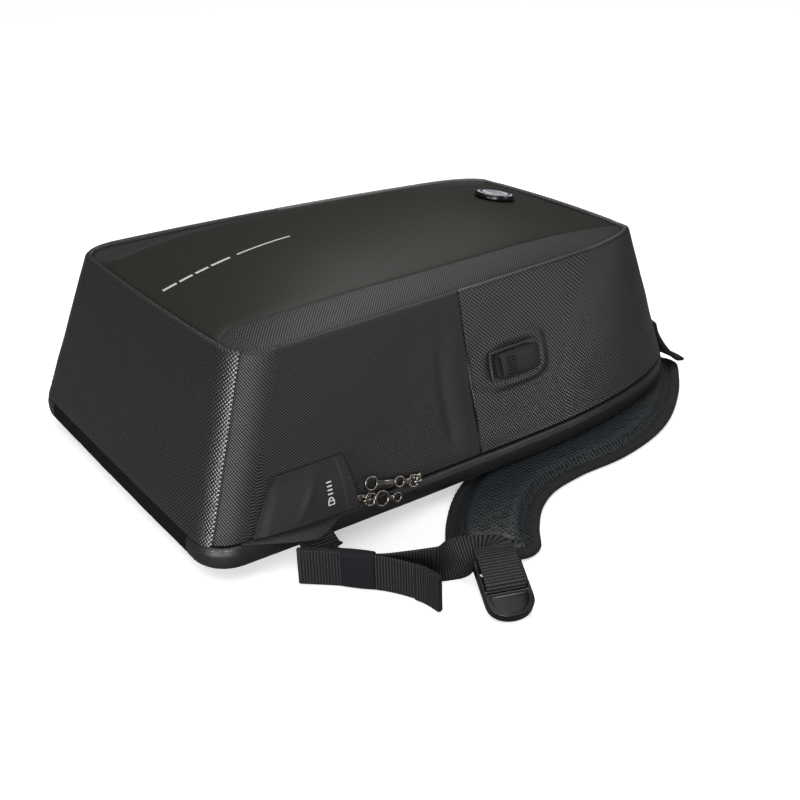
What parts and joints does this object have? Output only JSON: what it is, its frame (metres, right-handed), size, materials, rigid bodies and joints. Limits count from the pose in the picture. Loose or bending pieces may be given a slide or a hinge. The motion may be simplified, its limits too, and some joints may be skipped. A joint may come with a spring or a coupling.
{
  "type": "anti theft backpack",
  "caption": "Box-shaped anti theft backpack lying on its back, with a domed front face, a charging port, a pocketed zip and two padded shoulder straps.",
  "frame": {"origin": "middle of the back pad's flat underside, which the bag rests on", "axes": "+X to the top of the bag, -Y to the side with the charging port, +Z to the bag's front face, which looks up"},
  "size_m": [0.4896, 0.6064, 0.1639],
  "materials": {
    "smooth_cloth": "smooth matte",
    "wall_cloth": "fine weave",
    "coarse_cloth": "coarse weave",
    "trim_leather": "satin",
    "mesh_cloth": "open spacer mesh",
    "tape": "ribbed webbing",
    "elastic": "smooth elastic",
    "plastic": "satin",
    "metal": "polished gunmetal",
    "badge_enamel": "gloss enamel"
  },
  "bodies": {
    "bag": {"front_panel": "smooth_cloth", "front_gusset_port": "wall_cloth", "front_gusset_far": "wall_cloth", "bottom_panel": "coarse_cloth", "top_panel": "coarse_cloth", "side_panel_lower_port": "wall_cloth", "side_panel_upper_port": "coarse_cloth", "side_panel_lower_far": "wall_cloth", "side_panel_upper_far": "coarse_cloth", "trim_leather": "trim_leather", "trim_bottom": "tape", "zip": "tape", "back_panel": "mesh_cloth", "back_pad": "mesh_cloth", "badge_rim": "plastic", "badge_face": "badge_enamel", "port_base": "trim_leather", "port_housing": "plastic", "lock_flap": "wall_cloth", "upper_slider": "metal", "lower_slider": "metal", "strap_wing_port": "wall_cloth", "strap_wing_far": "wall_cloth", "strap_pad_port": "mesh_cloth", "strap_pad_far": "mesh_cloth", "strap_binding_port": "tape", "strap_binding_far": "tape", "strap_root_port": "tape", "strap_root_far": "tape", "webbing_tail_port": "tape", "webbing_tail_far": "tape", "webbing_anchor_port": "tape", "webbing_anchor_far": "tape", "webbing_lead_port": "tape", "webbing_lead_far": "tape", "keeper_port": "elastic", "keeper_far": "elastic", "buckle_port": "plastic", "buckle_far": "plastic", "buckle_strip_port": "tape", "buckle_strip_far": "tape"},
    "upper_pull": {"upper_pull": "metal"},
    "lower_pull": {"lower_pull": "metal"}
  },
  "joints": [
    {"name": "upper_pull_hinge", "type": "hinge", "parent": "bag", "child": "upper_pull", "pos_m": [-0.073, -0.16531, 0.03039], "axis": [0.2641, 0.2291, 0.9369], "range_deg": [0, 105]},
    {"name": "lower_pull_hinge", "type": "hinge", "parent": "bag", "child": "lower_pull", "pos_m": [-0.11554, -0.16513, 0.03027], "axis": [-0.2437, -0.2061, -0.9477], "range_deg": [0, 105]}
  ]
}
